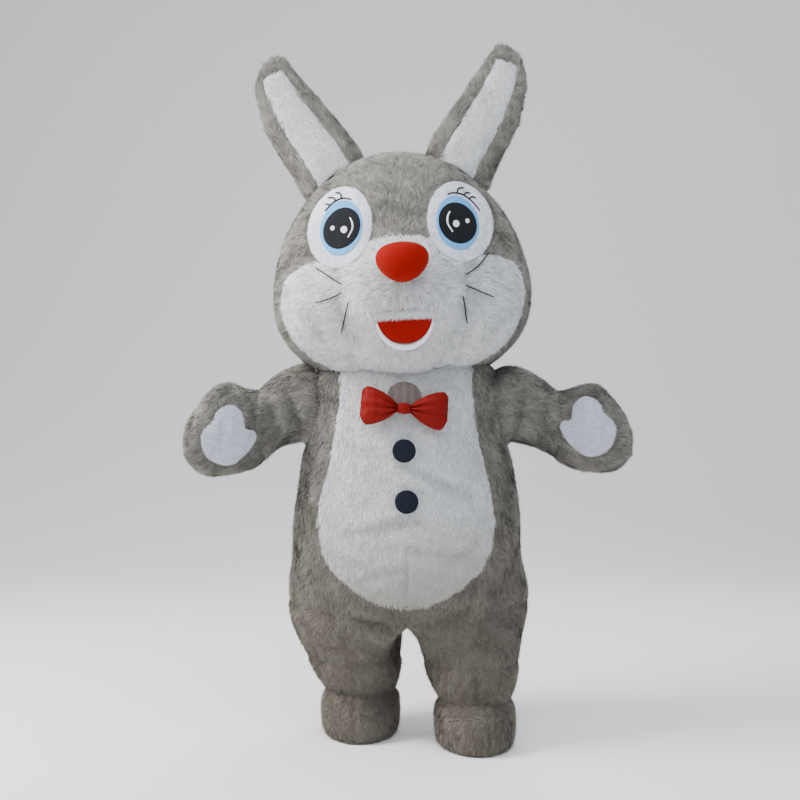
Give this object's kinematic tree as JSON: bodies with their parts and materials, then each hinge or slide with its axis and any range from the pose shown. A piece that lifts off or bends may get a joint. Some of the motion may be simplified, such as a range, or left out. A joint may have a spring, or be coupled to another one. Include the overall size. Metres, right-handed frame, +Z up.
{
  "type": "rabbit mascot costume",
  "caption": "Worn rabbit mascot costume of grey and white fur panels, with padded nose, felt eyes, paws, bow tie, buttons, vision window and back zip.",
  "frame": {"origin": "between the wearer's shoulders, inside the body, where the wearer carries the costume", "axes": "+Z up, the front of the costume faces -Y, +X to the right of someone who looks at the front"},
  "size_m": [1.896, 1.1827, 3.0293],
  "materials": {
    "grey_fur": "long grey faux fur",
    "white_fur": "long white faux fur",
    "white_plush": "short white plush",
    "blue_felt": "blue felt",
    "dark_felt": "near black felt",
    "red_plush": "short red plush",
    "red_satin": "red satin with a soft shine",
    "button": "covered padded disc, near black",
    "window_mesh": "grey see-through mesh",
    "sole": "dark hard-wearing sole cloth",
    "zip_tape": "woven zip tape with coil teeth",
    "zip_metal": "plain zip metal"
  },
  "bodies": {
    "costume": {"head_forehead": "grey_fur", "head_temple_left": "grey_fur", "head_temple_right": "grey_fur", "head_back_left": "grey_fur", "head_back_right": "grey_fur", "body_front_left": "grey_fur", "body_front_right": "grey_fur", "body_back_left": "grey_fur", "body_back_right": "grey_fur", "mask_muzzle": "white_fur", "mask_chin": "white_fur", "mask_cheek_left": "white_fur", "mask_cheek_right": "white_fur", "belly_panel": "white_fur", "eye_patch_left": "white_plush", "eye_iris_left": "blue_felt", "eye_pupil_left": "dark_felt", "ear_left_back": "grey_fur", "ear_left_rim": "grey_fur", "ear_left_inner": "white_fur", "sleeve_left": "grey_fur", "paw_left_palm": "grey_fur", "paw_left_back": "grey_fur", "palm_pad_left": "white_plush", "leg_left_upper_outer": "grey_fur", "leg_left_upper_inner": "grey_fur", "leg_left_lower_outer": "grey_fur", "leg_left_lower_inner": "grey_fur", "foot_left_upper": "grey_fur", "foot_left_sole": "sole", "bow_loop_left": "red_satin", "eye_patch_right": "white_plush", "eye_iris_right": "blue_felt", "eye_pupil_right": "dark_felt", "ear_right_back": "grey_fur", "ear_right_rim": "grey_fur", "ear_right_inner": "white_fur", "sleeve_right": "grey_fur", "paw_right_palm": "grey_fur", "paw_right_back": "grey_fur", "palm_pad_right": "white_plush", "leg_right_upper_outer": "grey_fur", "leg_right_upper_inner": "grey_fur", "leg_right_lower_outer": "grey_fur", "leg_right_lower_inner": "grey_fur", "foot_right_upper": "grey_fur", "foot_right_sole": "sole", "bow_loop_right": "red_satin", "nose": "red_plush", "mouth": "red_plush", "lower_lip": "white_plush", "bow_knot": "red_satin", "button_upper": "button", "button_lower": "button", "vision_window": "window_mesh", "zip_tape": "zip_tape", "zip_slider": "zip_metal"},
    "pull_tab": {"zip_pull_tab": "zip_metal"}
  },
  "joints": [
    {"name": "zip_tab_swing", "type": "hinge", "parent": "costume", "child": "pull_tab", "pos_m": [0, 0.33198, 0.11422], "axis": [1, 0, 0], "range_deg": [0, 150]}
  ]
}
